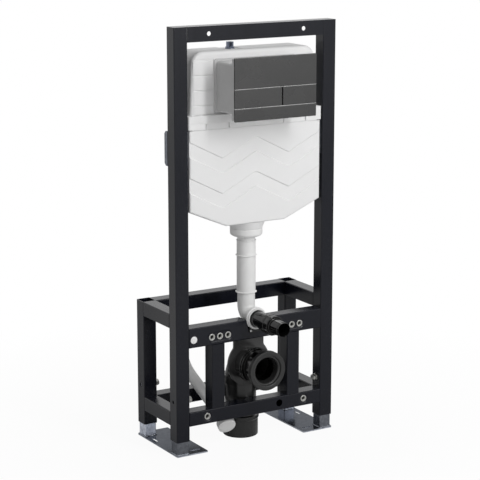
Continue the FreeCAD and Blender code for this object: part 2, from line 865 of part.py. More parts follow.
def flush_connector():
    start = flush_axis + Y * (socket_front + connector_insert)
    length = start.y + connector_reach
    shoulder = start.y - coupling_start
    profile = (
        (connector_bore, 0),
        (connector_outer, 0),
        (connector_outer, shoulder + coupling_length),
        (sleeve_outer, shoulder + coupling_length),
        (sleeve_outer, length - sleeve_chamfer),
        (sleeve_outer - 2 * sleeve_chamfer, length),
        (connector_bore, length),
    )
    return turned(profile, start, FRONT)


def connector_coupling():
    start = flush_axis + Y * coupling_start
    collar = ring(coupling_outer, connector_outer + 2 * fit_clearance, coupling_length, start, FRONT)
    flat_height = math.sqrt((coupling_outer / 2) ** 2 - (coupling_flat / 2) ** 2)
    low = V(-coupling_outer / 2, coupling_start - coupling_length, flush_axis_height + flat_height)
    high = V(coupling_outer / 2, coupling_start, flush_axis_height + coupling_outer / 2)
    return collar.cut(block(low, high))


# Waste
def waste_spigot():
    """Straight connector with a flanged mouth in front and two ribs where it enters the elbow."""
    start = V(0, -waste_reach, waste_axis_height)
    length = waste_reach + spigot_end
    bore = waste_outer - 2 * waste_wall
    body = rod(waste_outer, length, start, Y)
    body = body.fuse(rod(flange_outer, flange_length, start, Y))
    for count in range(2):
        place = start + Y * (length - spigot_rib_length - count * spigot_rib_pitch)
        body = body.fuse(rod(spigot_rib, spigot_rib_length, place, Y))
    body = body.cut(rod(bore, length, start, Y))
    body = body.cut(rod(mouth_bore, seal_depth, start, Y))
    groove = rod(seal_outer + 2 * fit_clearance, seal_length, start + Y * seal_depth, Y)
    return body.cut(groove).removeSplitter()


def waste_seal():
    """Rubber ring held in the groove of the spigot's mouth, with a lip that narrows inwards."""
    profile = (
        (seal_bore, 0),
        (seal_outer, 0),
        (seal_outer, seal_length),
        (seal_bore, seal_length),
        (seal_lip_bore + 2 * seal_lip_wall, seal_lip_length),
        (seal_lip_bore, seal_lip_length),
    )
    return turned(profile, V(0, seal_depth - waste_reach, waste_axis_height), Y)


def elbow_plate():
    """Round plate on the elbow with a tab that runs up behind the bowl bar."""
    back = V(0, tube, waste_axis_height)
    tab = block(back - X * (tab_width / 2), V(tab_width / 2, tube + tab_thickness, tab_top))
    plate = rod(tab_collar, tab_thickness, back, Y).fuse(tab).removeSplitter()
    neck_edges = [edge for edge in edges_along(plate, Y) if edge.BoundBox.ZMax < tab_top - fit_clearance
                  and abs(abs(edge.Vertexes[0].X) - tab_width / 2) < fit_clearance]
    return plate.makeFillet(tab_neck_round, neck_edges)


def waste_elbow():
    """Elbow with a plate on the back of the bowl bar and a collar over the outlet pipe."""
    start = V(0, spigot_end, waste_axis_height)
    corner = V(0, waste_outlet_y, waste_axis_height)
    end = V(0, waste_outlet_y, outlet_top - elbow_socket_depth)
    elbow = bent_rod(waste_outer, (start, corner, end), waste_bend_radius)
    elbow = elbow.fuse(rod(elbow_collar, elbow_collar_length, end, Z)).fuse(elbow_plate())
    bore = waste_outer - 2 * waste_wall
    elbow = elbow.cut(bent_rod(bore, (start, corner, end), waste_bend_radius))
    return elbow.cut(rod(waste_outer, elbow_socket_depth, end, Z)).removeSplitter()


def waste_outlet():
    """Outlet pipe, pushed up into the elbow's collar, with a wider socket at the floor."""
    foot = V(0, waste_outlet_y, outlet_bottom)
    bore = waste_outer - 2 * waste_wall
    top = outlet_top - outlet_bottom
    socket_top = outlet_socket_top - outlet_bottom
    profile = (
        (bore, socket_top - waste_wall),
        (bore, top),
        (waste_outer - 2 * fit_clearance, top),
        (waste_outer - 2 * fit_clearance, socket_top),
        (outlet_socket_bead, socket_top),
        (outlet_socket_bead, socket_top - outlet_socket_bead_length),
        (outlet_socket, socket_top - outlet_socket_bead_length - waste_wall),
        (outlet_socket, 0),
        (outlet_socket - 2 * waste_wall, 0),
        (outlet_socket - 2 * waste_wall, socket_top - waste_wall),
    )
    return turned(profile, foot, Z)


# Stub pipe
def stub_pipe():
    """Pipe with a wider nose turned aside in front and a short upward bend at the back."""
    mouth = stub_start + stub_nose_run * stub_cap
    bore = stub_outer - 2 * stub_wall
    line = (stub_knee, stub_bend, stub_end)
    pipe = bent_rod(stub_outer, line, stub_bend_radius)
    pipe = pipe.fuse(rod(stub_socket, stub_socket_length, mouth, stub_nose_run))
    pipe = pipe.cut(bent_rod(bore, line, stub_bend_radius))
    return pipe.cut(rod(bore, stub_socket_length, mouth, stub_nose_run))


def make_pipes():
    save("flush_collar_nut", flush_collar_nut())
    save("flush_pipe", flush_pipe())
    save("flush_cradle", flush_cradle())
    save("flush_connector", flush_connector())
    save("connector_coupling", connector_coupling())
    save("waste_spigot", waste_spigot())
    save("waste_seal", waste_seal())
    save("waste_elbow", waste_elbow())
    save("waste_outlet", waste_outlet())
    save("stub_pipe", stub_pipe())
    save("stub_cap", rod(stub_socket, stub_cap, stub_start, stub_nose_run))


os.makedirs("parts", exist_ok=True)
make_frame()
make_feet()
make_cistern()
make_pipes()
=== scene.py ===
"""Looks of the wall hung toilet frame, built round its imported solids. Metres, Z up, the wall at +Y."""
import json

import bmesh
import bpy
import numpy as np
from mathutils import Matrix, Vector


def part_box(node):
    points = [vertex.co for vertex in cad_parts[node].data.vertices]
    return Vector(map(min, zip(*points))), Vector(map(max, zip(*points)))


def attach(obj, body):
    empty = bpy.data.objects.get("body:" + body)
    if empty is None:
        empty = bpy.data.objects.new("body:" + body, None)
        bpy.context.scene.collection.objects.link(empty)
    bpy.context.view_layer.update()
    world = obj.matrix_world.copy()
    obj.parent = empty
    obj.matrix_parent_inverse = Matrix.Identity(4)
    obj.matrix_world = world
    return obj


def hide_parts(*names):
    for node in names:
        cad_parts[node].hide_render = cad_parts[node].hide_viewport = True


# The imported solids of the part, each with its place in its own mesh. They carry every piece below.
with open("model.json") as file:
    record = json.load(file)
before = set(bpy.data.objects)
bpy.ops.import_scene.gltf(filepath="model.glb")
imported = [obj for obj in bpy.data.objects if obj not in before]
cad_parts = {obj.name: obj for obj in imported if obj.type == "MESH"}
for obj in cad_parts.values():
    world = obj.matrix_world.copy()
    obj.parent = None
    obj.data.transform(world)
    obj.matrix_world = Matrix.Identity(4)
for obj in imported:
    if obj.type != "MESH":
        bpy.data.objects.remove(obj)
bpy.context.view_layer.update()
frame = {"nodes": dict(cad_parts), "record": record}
nodes = frame["nodes"]


# Square steel tubes, welded and ground flush, then powder coated in a blue black satin. The coat melts
# and flows as it is baked, which leaves a fine peel and slow streaks in what the faces reflect.
class Shade:
    """A value in a material's node tree. Sums, differences and products of such values add Math nodes."""

    def __init__(self, tree, socket=None):
        self.tree = tree
        self.socket = socket

    def node(self, kind, settings=None, sockets=None, output=0):
        """Add a node: first its settings, then the values or links of its sockets."""
        made = self.tree.nodes.new("ShaderNode" + kind)
        for name, value in (settings or {}).items():
            setattr(made, name, value)
        for name, value in (sockets or {}).items():
            if isinstance(value, Shade):
                self.tree.links.new(value.socket, made.inputs[name])
            else:
                made.inputs[name].default_value = value
        return Shade(self.tree, made.outputs[output])

    def into(self, shader, name):
        """Link this value to one of a shader's sockets."""
        self.tree.links.new(self.socket, shader.inputs[name])

    def maths(self, operation, *values):
        """Result of a Math node on values or numbers."""
        return self.node("Math", {"operation": operation}, dict(enumerate(values)))

    def __add__(self, other):
        return self.maths("ADD", self, other)

    def __sub__(self, other):
        return self.maths("SUBTRACT", self, other)

    def __rsub__(self, other):
        return self.maths("SUBTRACT", other, self)

    def __mul__(self, other):
        return self.maths("MULTIPLY", self, other)

    __radd__ = __add__
    __rmul__ = __mul__

    def between(self, low, high):
        """Colour that goes from one to another as this value goes from 0 to 1."""
        return self.node("Mix", {"data_type": "RGBA"}, {0: self, 6: low, 7: high}, 2)

    def along(self, axis):
        """One coordinate of a place: 0 for X, 1 for Y or 2 for Z."""
        return self.node("SeparateXYZ", None, {"Vector": self}, axis)

    def ramp(self, start, end, low=0.0, high=1.0):
        """Value that goes from low to high as this one goes from start to end, and is level beyond them."""
        limits = {"From Min": start, "From Max": end, "To Min": low, "To Max": high}
        return self.node("MapRange", None, {"Value": self, **limits})

    def bump(self, strength, height):
        """Normal of a surface raised by this value, up to a height in metres."""
        return self.node("Bump", None, {"Strength": strength, "Distance": height, "Height": self})

    def noise(self, scale, detail, stretch=(1, 1, 1)):
        """Soft noise, about one grain in every 1/scale metres, stretched along the axes."""
        spot = self.node("Mapping", None, {"Vector": self, "Scale": stretch})
        return self.node("TexNoise", None, {"Vector": spot, "Scale": scale, "Detail": detail})


def finish(name, constants):
    """Material with constant sockets set on its shader. Gives it, its shader and object coordinates."""
    material = bpy.data.materials.new(name)
    material.use_nodes = True
    shader = material.node_tree.nodes["Principled BSDF"]
    for socket, value in constants.items():
        shader.inputs[socket].default_value = value
    place = Shade(material.node_tree).node("TexCoord", output="Object")
    return material, shader, place


def coat(node, material):
    """Give one solid a finish."""
    nodes[node].data.materials.clear()
    nodes[node].data.materials.append(material)


def dress(material, slot):
    """Give a finish to every solid of one of the record's material slots."""
    for part in frame["record"]["subparts"]:
        if part["material_slot"] == slot:
            coat(part["node"], material)


COAT_DARK = (0.0034, 0.0040, 0.0076, 1)
COAT_LIGHT = (0.0050, 0.0059, 0.0108, 1)
powder_coat, shader, place = finish("powder_coat", {"IOR": 1.5, "Specular IOR Level": 0.27})
flow = place.noise(9, 3, (3, 3, 0.5))
peel = place.noise(650, 1)
flow.between(COAT_DARK, COAT_LIGHT).into(shader, "Base Color")
(0.20 + flow * 0.10).into(shader, "Roughness")
peel.bump(0.03, 0.0003).into(shader, "Normal")
dress(powder_coat, "frame_paint")
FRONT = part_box("upright_left")[0].y


# Threaded inserts in the bowl bar and the lower bar: zinc plated rivet nuts with a flange that lies in
# the bar's recess. They are turned, threaded and squeezed in from the front.
def eased(corners, reach, steps=4):
    """Closed outline of (radius, distance) corners, each replaced by a quadratic curve.

    The curve leaves and joins the sides at the reach from its corner, or at 0.45 of a shorter side:
    point(t) = (1 - t)^2 start + 2 t (1 - t) corner + t^2 end.
    """
    corner = np.array(corners, float)
    reach = np.reshape(reach, (-1, 1))
    ends = []
    for shift in (1, -1):
        side = np.roll(corner, shift, axis=0) - corner
        length = np.linalg.norm(side, axis=1, keepdims=True)
        ends.append(corner + side * np.minimum(reach / length, 0.45))
    t = np.linspace(0, 1, steps + 1)[:, None]
    curve = (1 - t) ** 2 * ends[0][:, None] + 2 * t * (1 - t) * corner[:, None] + t ** 2 * ends[1][:, None]
    return curve.reshape(-1, 2)


def straight(start, direction):
    """Straight axis: a function of distances that gives its points and directions."""
    heading = np.array(direction, float) / np.linalg.norm(direction)

    def path(distance):
        return np.array(start) + distance[:, None] * heading, np.tile(heading, (len(distance), 1))
    return path


def turns(around):
    """Angles of the columns of a turned surface."""
    return np.linspace(0, 2 * np.pi, around, endpoint=False)


def sweep(radius, distance, path, across, around=96):
    """Surface turned about a path, one ring for each distance.

    point = centre + radius (cos(turn) across + sin(turn) direction x across). The radius is one number
    a ring, or one a ring and turn, for threads, hexagons and flats.
    """
    centre, heading = path(distance)
    across = np.broadcast_to(np.array(across, float), heading.shape)
    turn = turns(around)[:, None]
    spoke = np.cos(turn) * across[:, None] + np.sin(turn) * np.cross(heading, across)[:, None]
    return centre[:, None] + np.reshape(radius, (len(distance), -1, 1)) * spoke


SHARP_EDGE = np.radians(34)


def piece(name, material, body, rings=(), solids=(), replaces=()):
    """One mesh from grids of points whose columns meet. Rings close on themselves, solids get end faces."""
    points, faces, count = [], [], 0
    for grid, closed in [(grid, True) for grid in rings] + [(grid, False) for grid in solids]:
        rows, columns = grid.shape[:2]
        index = count + np.arange(rows * columns).reshape(rows, columns)
        ends = [] if closed else [index[0].tolist(), index[-1].tolist()]
        index = np.hstack([index, index[:, :1]])
        if closed:
            index = np.vstack([index, index[:1]])
        quads = np.stack([index[:-1, :-1], index[:-1, 1:], index[1:, 1:], index[1:, :-1]], axis=-1)
        faces += quads.reshape(-1, 4).tolist() + ends
        points.append(grid.reshape(-1, 3))
        count += rows * columns
    mesh = bpy.data.meshes.new(name)
    mesh.from_pydata(np.vstack(points), [], faces)
    shape = bmesh.new()
    shape.from_mesh(mesh)
    bmesh.ops.recalc_face_normals(shape, faces=shape.faces)
    shape.to_mesh(mesh)
    shape.free()
    mesh.shade_smooth()
    mesh.set_sharp_from_angle(angle=SHARP_EDGE)
    mesh.materials.append(material)
    made = bpy.data.objects.new(name, mesh)
    bpy.context.scene.collection.objects.link(made)
    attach(made, body)
    if replaces:
        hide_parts(*replaces)


INSERT_DARK = (0.36, 0.36, 0.345, 1)
INSERT_LIGHT = (0.58, 0.58, 0.555, 1)
# Colour of the painted shade deep in the bore:
INSERT_BORE_SHADE = (0.075, 0.075, 0.072, 1)
bore_shade_start = 0.0008
bore_shade_full = 0.0045
insert_zinc, shader, place = finish("insert_zinc", {"Metallic": 1.0})
blush = place.noise(260, 3)
# The bore goes dark from just behind the front inwards: painted shade inside the hole, over the zinc's
# clouds.
painted_bore_shade = place.along(1).ramp(FRONT + bore_shade_start, FRONT + bore_shade_full)
painted_bore_shade.between(blush.between(INSERT_DARK, INSERT_LIGHT), INSERT_BORE_SHADE).into(shader, "Base Color")
(0.22 + blush * 0.2).into(shader, "Roughness")

bolt_patterns = [mount for mount in frame["record"]["mounts"]
                 if mount["name"].startswith(("bowl_bolts", "lower_bolts"))]
insert_bore = bolt_patterns[0]["dims"]["hole_r_mm"] / 1000
insert_flange = 0.00925
insert_lip = 0.0012
insert_shank = 0.0075
insert_reach = 0.0192
insert_ease = 0.0004
thread_pitch = 0.00175
thread_depth = 0.0009
rows_a_turn = 6
recess_radius = 0.01475
recess_depth = 0.0012
recess_slope = 0.0034


def bolt_places():
    """Centres of the inserts, two for each bolt pattern that the record states on the front bars."""
    return [(side * pattern["dims"]["spacing_x_mm"] / 2000, FRONT, pattern["pos_m"][2])
            for pattern in bolt_patterns for side in (-1, 1)]


def thread(distance, around, pitch, depth):
    """Ridge of a thread: a triangle wave of the distance along the axis less the turn round it."""
    phase = distance[:, None] / pitch - turns(around) / (2 * np.pi)
    return depth * np.abs(2 * (phase % 1) - 1)


def insert_rings(around=40):
    """Inserts of one flange and shank, turned, with the thread's ridge taken off the bore's radius."""
    outline = eased([(insert_bore, 0), (insert_flange, 0), (insert_flange, insert_lip),
                     (insert_shank, insert_lip), (insert_shank, insert_reach), (insert_bore, insert_reach)],
                    insert_ease)
    threads = int(insert_reach / thread_pitch) - 1
    rows = np.linspace(insert_reach - thread_pitch, thread_pitch / 2, threads * rows_a_turn)
    distance = np.concatenate([outline[:, 1], rows])
    radius = np.tile(np.concatenate([outline[:, 0], np.full(len(rows), insert_bore)])[:, None], around)
    radius[len(outline):] -= thread(rows, around, thread_pitch, thread_depth)
    return [sweep(radius, distance, straight(centre, (0, 1, 0)), (1, 0, 0), around)
            for centre in bolt_places()]


def round_rectangle(half_width, half_height, corner, steps=8):
    """Rectangle with round corners: four quarter circles about the corners' centres."""
    quarter = np.repeat(np.arange(4), steps)
    turn = (quarter + np.tile(np.linspace(0, 1, steps), 4)) * np.pi / 2
    middle = (quarter + 0.5) * np.pi / 2
    return np.column_stack([np.sign(np.cos(middle)) * (half_width - corner) + corner * np.cos(turn),
                            np.sign(np.sin(middle)) * (half_height - corner) + corner * np.sin(turn)])


def recess_rim(centre, half_length, steps=16):
    """Sloping wall of a pressed recess: a triangle carried along its outline, wide at the recess's floor."""
    rings = []
    for inset, depth in ((0, 0), (0, recess_depth), (recess_slope, recess_depth)):
        line = round_rectangle(half_length - inset, recess_radius - inset, recess_radius - inset, steps)
        rings.append(np.array(centre) + np.column_stack([line[:, 0], np.full(len(line), depth), line[:, 1]]))
    return np.array(rings)


def recess_rims():
    """One long recess for each three inserts of the bowl bar, and a round one for each of the lower bar."""
    places = np.array(bolt_places())
    low = places[:, 2].min()
    rims = [recess_rim(place, recess_radius) for place in places[places[:, 2] == low]]
    upper = places[places[:, 2] > low]
    for side in (-1, 1):
        group = upper[upper[:, 0] * side > 0]
        rims.append(recess_rim(group.mean(axis=0), np.ptp(group[:, 0]) / 2 + recess_radius))
    return rims


piece("bolt_inserts_threaded", insert_zinc, "frame", rings=insert_rings(),
      replaces=["bolt_inserts"])
piece("recess_rims", powder_coat, "frame", rings=recess_rims())


# Clamp bolts that hold the legs in the posts: a weld nut on the inner face of each post and a bolt in it,
# both of zinc plated steel, with chamfered corners as they come from the cold header.
def clouded(name, constants, colours, cloud, roughness, grain=None):
    """Finish that goes from one colour to another in clouds, and roughness = first + second * cloud.

    The cloud is a noise of a scale and a detail. A finer grain is raised by a strength, to a height.
    """
    material, shader, place = finish(name, constants)
    drift = place.noise(*cloud)
    drift.between(*colours).into(shader, "Base Color")
    (roughness[0] + drift * roughness[1]).into(shader, "Roughness")
    if grain:
        scale, strength, height = grain
        place.noise(scale, 1).bump(strength, height).into(shader, "Normal")
    return material


ZINC_DARK = (0.26, 0.26, 0.25, 1)
ZINC_LIGHT = (0.44, 0.44, 0.42, 1)
zinc = clouded("zinc_plate", {"Metallic": 1.0}, (ZINC_DARK, ZINC_LIGHT), (260, 3), (0.22, 0.2))
dress(zinc, "zinc_steel")

nut_flats = 0.019
nut_length = 0.006
head_flats = 0.016
head_length = 0.008
hex_end = 0.97
hex_chamfer = 0.6
clamp_height = (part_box("leg_clamp_bolts")[0].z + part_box("leg_clamp_bolts")[1].z) / 2


def hexagon(across_flats, start, length, path, across, around=72):
    """Hexagon bar with its corners turned off at the ends.

    radius = the smaller of flat / cos(turn from the flat's middle) and a cone at each end.
    """
    flat = across_flats / 2
    corner = flat / np.cos(np.pi / 6)
    rise = np.linspace(0, 1, 3) * (corner - flat) * hex_chamfer
    distance = start + np.concatenate([rise, length - rise[::-1]])
    cone = np.linspace(flat * hex_end, corner, 3)
    cone = np.concatenate([cone, cone[::-1]])
    side = flat / np.cos((turns(around) + np.pi / 6) % (np.pi / 3) - np.pi / 6)
    return sweep(np.minimum(cone[:, None], side), distance, path, across, around)


def clamp_bolts():
    """Nut and bolt head in a row on the inner face of each post, at the middle of its depth."""
    solids = []
    for post in ("upright_left", "upright_right", "rear_post_left", "rear_post_right"):
        low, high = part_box(post)
        inward = 1 if post.endswith("left") else -1
        face = high.x if inward > 0 else low.x
        axis = straight((face, (low.y + high.y) / 2, clamp_height), (inward, 0, 0))
        solids.append(hexagon(nut_flats, 0, nut_length, axis, (0, 1, 0)))
        solids.append(hexagon(head_flats, nut_length, head_length, axis, (0, 1, 0)))
    return solids


piece("clamp_bolts_hex", zinc, "frame", solids=clamp_bolts(), replaces=["leg_clamp_bolts"])

# White plug pressed into the bowl bar, and the two small white pegs that pin the saddle in its notch.
# They are moulded in polyethylene with a low dome.
WHITE_LOW = (0.76, 0.76, 0.755, 1)
WHITE_HIGH = (0.82, 0.82, 0.815, 1)
white_plastic = clouded("white_plastic", {"IOR": 1.46}, (WHITE_LOW, WHITE_HIGH), (35, 2), (0.32, 0.14),
                        (900, 0.03, 0.0002))
dress(white_plastic, "white_plastic")

plug_radius = 0.010
plug_dome = 0.0014
plug_shank = 0.0091
plug_depth = 0.004
peg_radius = 0.003
peg_dome = 0.0015
peg_spacing = 0.039
peg_height = 0.3225


def button_head(radius, dome, shank, depth, path, around=48):
    """Domed head on a shank: head height = dome (1 - (r / radius)^4), turned about its axis."""
    share = np.linspace(0.15, 1, 12)
    distance = np.concatenate([-dome * (1 - share ** 4), [0, depth]])
    return sweep(np.concatenate([share * radius, [shank, shank]]), distance, path, (1, 0, 0), around)


def plug_and_pegs():
    """Plug at the middle of its hole's height, and a peg at each side of the pipe on the saddle's front."""
    low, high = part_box("crossbar_plug")
    plug = straight((low.x + plug_radius, FRONT, (low.z + high.z) / 2), (0, 1, 0))
    solids = [button_head(plug_radius, plug_dome, plug_shank, plug_depth, plug)]
    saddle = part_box("flush_cradle")[0].y
    for side in (-1, 1):
        peg = straight((side * peg_spacing / 2, saddle, peg_height), (0, 1, 0))
        solids.append(button_head(peg_radius, peg_dome, peg_radius, high.y - saddle, peg))
    return solids


piece("plug_and_pegs", white_plastic, "frame", solids=plug_and_pegs(),
      replaces=["crossbar_plug"])

# Feet: a plate cut from galvanised sheet and two square legs that run up inside the posts, with a fillet
# weld round the base of each leg. The zinc shows a faint spangle. The plates' darker zinc is painted shade,
# the lighter band on their cut edges a painted highlight, and the rear legs' lighter zinc painted light.
SPANGLE_DARK = np.array([0.85, 0.90, 1.03, 1])
SPANGLE_LIGHT = np.array([1.55, 1.63, 1.80, 1])
ZINC_EDGE = (0.62, 0.63, 0.65, 1)
plate_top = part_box("foot_plate_left")[1].z
edge_highlight_drop = 0.0006
edge_highlight_fade = 0.0004


def galvanised(name, tone, dullness, edge_highlight_tone=None):
    """Zinc coat of a tone: grains about 6 mm wide go from dark to light, and roughness grows with them.

    If given, a sheet's cut edges, below its top face, get a lighter tone: a painted highlight.
    """
    material, shader, place = finish(name, {"Metallic": 1.0, "Specular Tint": ZINC_EDGE})
    spangle = place.node("TexVoronoi", {"feature": "F1"},
                         {"Vector": place, "Scale": 170.0, "Randomness": 1.0}, 1)
    grain = place.node("SeparateColor", None, {"Color": spangle}) * 0.55 + place.noise(24, 3) * 0.45
    colour = grain.between(SPANGLE_DARK * tone, SPANGLE_LIGHT * tone)
    # Painted highlight: a lighter tone on the band just below the sheet's top face.
    if edge_highlight_tone:
        face = place.along(2).ramp(plate_top - edge_highlight_drop, plate_top - edge_highlight_drop + edge_highlight_fade)
        colour = face.between(grain.between(SPANGLE_DARK * edge_highlight_tone, SPANGLE_LIGHT * edge_highlight_tone), colour)
    colour.into(shader, "Base Color")
    (dullness + grain * 0.14).into(shader, "Roughness")
    return material


# One zinc for all legs and plates: the rear legs' lighter tone is painted light, the plates' darker tone
# painted shade.
leg_zinc = galvanised("galvanised_tube", 0.15, 0.14)
rear_zinc_lit = galvanised("galvanised_rear_tube_painted_light", 0.62, 0.30)
plate_zinc_shaded = galvanised("galvanised_sheet_painted_shade", 0.075, 0.12, 0.45)
dress(leg_zinc, "galvanised_steel")
for side in ("left", "right"):
    coat("foot_plate_" + side, plate_zinc_shaded)
    coat("rear_leg_" + side, rear_zinc_lit)

leg_corner = 0.0025
foot_corner = 0.003
weld_radius = 0.0026
weld_ripple = 0.05
ripple_pitch = 0.0040
edge_radius = 0.0007
edge_sink = 0.7


def even(outline, count):
    """Closed outline walked at even steps: its coordinates against the distance run along it."""
    closed = np.vstack([outline, outline[:1]])
    run = np.concatenate([[0], np.cumsum(np.linalg.norm(np.diff(closed, axis=0), axis=1))])
    marks = np.linspace(0, run[-1], count, endpoint=False)
    return np.column_stack([np.interp(marks, run, closed[:, axis]) for axis in range(2)]), marks


def bead_round(node, corner, inset, height, radius, ripple, count, around=14):
    """Bead along a node's outline in plan: a circle of rippled radius carried round a rounded rectangle."""
    low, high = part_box(node)
    wide, deep = (high.x - low.x) / 2 - inset, (high.y - low.y) / 2 - inset
    line, run = even(round_rectangle(wide, deep, corner), count)
    ahead = np.roll(line, -1, axis=0) - np.roll(line, 1, axis=0)
    outward = np.column_stack([ahead[:, 1], -ahead[:, 0]]) / np.linalg.norm(ahead, axis=1, keepdims=True)
    radius = radius * (1 + ripple * np.cos(2 * np.pi * run / ripple_pitch))
    turn = turns(around)
    flat = line[:, None] + (radius[:, None] * np.cos(turn))[:, :, None] * outward[:, None]
    rise = radius[:, None] * np.sin(turn)
    centre = np.array([(low.x + high.x) / 2, (low.y + high.y) / 2, height])
    return centre + np.concatenate([flat, rise[:, :, None]], axis=2)


for side in ("left", "right"):
    welds = [bead_round(end + "_leg_" + side, leg_corner, 0, plate_top, weld_radius, weld_ripple, 240)
             for end in ("front", "rear")]
    welds.append(bead_round("foot_plate_" + side, foot_corner, edge_radius,
                            plate_top - edge_radius * edge_sink, edge_radius, 0, 160))
    piece("leg_welds_" + side, leg_zinc, side + "_foot", rings=welds)

# Cistern tank and cover, moulded in white foam with a fine closed skin. The cover sits on the tank with a
# shadow joint, and the tank's front has two sunk zigzag bands.
FOAM_LOW = (0.775, 0.775, 0.775, 1)
FOAM_HIGH = (0.815, 0.815, 0.815, 1)
foam, shader, place = finish("foam_skin", {"IOR": 1.4, "Specular IOR Level": 0.3})
pearl = place.node("TexVoronoi", {"feature": "DISTANCE_TO_EDGE"}, {"Vector": place, "Scale": 330.0})
mottle = place.noise(14, 3)
mottle.between(FOAM_LOW, FOAM_HIGH).into(shader, "Base Color")
(0.62 + mottle * 0.2).into(shader, "Roughness")
(pearl * 0.5 + place.noise(700, 2) * 0.5).bump(0.05, 0.0004).into(shader, "Normal")
dress(foam, "white_foam")

cover_low, cover_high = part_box("cistern_cover")
joint_gap = 0.0025
joint_half_width = 0.194
joint_front = FRONT + 0.0045
joint_depth = 0.008
trim_bite = 0.001
cover_front = FRONT + 0.011
groove_drop = 0.0236
groove_pitch = 0.039
groove_width = 0.0034
groove_count = 4
pad_outer = 0.188
pad_inner = 0.127
pad_rise = 0.0016
pad_fade = 0.004
skirt_front = FRONT + 0.002
skirt_height = 0.036
skirt_half_width = 0.200
step_height = 0.0165
step_rise = 0.0010


def trim_bar(low, high, sink=0.0, fade=0.0):
    """Bar along X with a round-cornered section. Over the fade at each end it sinks back into its face."""
    low, high = np.array(low), np.array(high)
    half, middle = (high - low) / 2, (high + low) / 2
    line = round_rectangle(half[1], half[2], min(half[1:]) * 0.6)
    stations = [(low[0], sink), (low[0] + fade, 0), (high[0] - fade, 0), (high[0], sink)]
    if not fade:
        stations = stations[::3]
    return np.array([np.column_stack([np.full(len(line), x), middle[1:] + line + (back, 0)])
                     for x, back in stations])


def cover_trim():
    """Strip in the joint under the cover, the skirt's raised upper half, and pads with grooves between.

    The grooves are a pitch apart from the cover's top down, and the last pad ends at the skirt.
    """
    skirt_top = cover_low.z + skirt_height
    bars = [trim_bar((-joint_half_width, joint_front, cover_low.z - joint_gap),
                     (joint_half_width, joint_front + joint_depth, cover_low.z)),
            trim_bar((-skirt_half_width, skirt_front - step_rise, cover_low.z + step_height),
                     (skirt_half_width, skirt_front + trim_bite, skirt_top - trim_bite), step_rise, pad_fade)]
    levels = np.append(cover_high.z - groove_drop - groove_pitch * np.arange(groove_count), skirt_top)
    for top, base in zip(levels[:-1], levels[1:]):
        for side in (-1, 1):
            ends = sorted((side * pad_inner, side * pad_outer))
            low = (ends[0], cover_front - pad_rise, base + groove_width / 2)
            high = (ends[1], cover_front + trim_bite, top - groove_width / 2)
            bars.append(trim_bar(low, high, pad_rise, pad_fade))
    return bars


piece("cover_trim", foam, "frame", solids=cover_trim())

# Water inlet on the cover: a fitting with a round foot, a hexagon and a threaded stub. It is turned from
# hexagon brass bar, plated, and screwed down through the cover's top.
PLATED_DARK = (0.10, 0.115, 0.16, 1)
PLATED_LIGHT = (0.34, 0.37, 0.45, 1)
plated = clouded("plated_brass", {"Metallic": 1.0}, (PLATED_DARK, PLATED_LIGHT), (90, 2), (0.12, 0.1))
dress(plated, "inlet_metal")

inlet_foot_height = 0.003
inlet_flats = 0.022
inlet_nut_height = 0.003
inlet_stub = 0.0104
inlet_bore = 0.005
inlet_pitch = 0.0014
inlet_thread = 0.0006
inlet_rows = 60
inlet_ease = 0.0008
inlet_bite = 0.0005


def inlet_shapes(around=64):
    """Foot and threaded stub turned about the fitting's axis, and the hexagon between them."""
    low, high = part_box("inlet_fitting")
    axis = straight(((low.x + high.x) / 2, (low.y + high.y) / 2, low.z), (0, 0, 1))
    foot_radius = (high.x - low.x) / 2
    height = high.z - low.z
    nut_top = inlet_foot_height + inlet_nut_height
    foot = eased([(inlet_bore, 0), (foot_radius, 0), (foot_radius, inlet_foot_height),
                  (inlet_bore, inlet_foot_height)], inlet_ease)
    rows = np.linspace(nut_top - inlet_bite, height - inlet_thread, inlet_rows)
    distance = np.concatenate([rows, [height, height, nut_top - inlet_bite]])
    radius = np.append(np.full(inlet_rows, inlet_stub), [inlet_stub - inlet_thread, inlet_bore, inlet_bore])
    stub = np.tile(radius[:, None], around)
    stub[:inlet_rows] -= thread(rows, around, inlet_pitch, inlet_thread)
    rings = [sweep(foot[:, 0], foot[:, 1], axis, (1, 0, 0), around),
             sweep(stub, distance, axis, (1, 0, 0), around)]
    return rings, [hexagon(inlet_flats, inlet_foot_height, inlet_nut_height, axis, (1, 0, 0))]


inlet_rings, inlet_hexagon = inlet_shapes()
piece("inlet_fitting_threaded", plated, "frame", rings=inlet_rings, solids=inlet_hexagon,
      replaces=["inlet_fitting"])

# Access shaft on the cover and the carrier behind the flush plate, both moulded in light grey plastic
# with a fine spark texture.
SHAFT_LOW = (0.52, 0.52, 0.52, 1)
SHAFT_HIGH = (0.60, 0.60, 0.60, 1)
shaft_plastic = clouded("shaft_plastic", {"IOR": 1.46}, (SHAFT_LOW, SHAFT_HIGH), (30, 2), (0.42, 0.12),
                        (1100, 0.05, 0.0002))
dress(shaft_plastic, "grey_plastic")

# Flush plate: two fixed panels and two buttons, each moulded with a low chamfer and lacquered in matt
# anthracite. White bars in the seams add a painted highlight for the light that the chamfers catch.
PLATE_LOW = (0.012, 0.012, 0.012, 1)
PLATE_HIGH = (0.018, 0.018, 0.0178, 1)
anthracite = clouded("anthracite_lacquer", {"IOR": 1.5, "Specular IOR Level": 0.75}, (PLATE_LOW, PLATE_HIGH),
                     (16, 2), (0.22, 0.10), (1500, 0.04, 0.0002))
dress(anthracite, "plate_grey")

plate_corner = 0.0006
plate_chamfer = 0.0013
chamfer_tilt = np.radians(20)
plate_thickness = 0.005
panel_rim = 0.0005
panel_side = 0.0002
button_thickness = 0.004
stem_radius = 0.0035
stem_inset = 0.024
stem_bite = 0.0005
stem_chamfer = 0.0006
seam_play = 0.00008
seam_inset = 0.0004
seam_sink = 0.0001


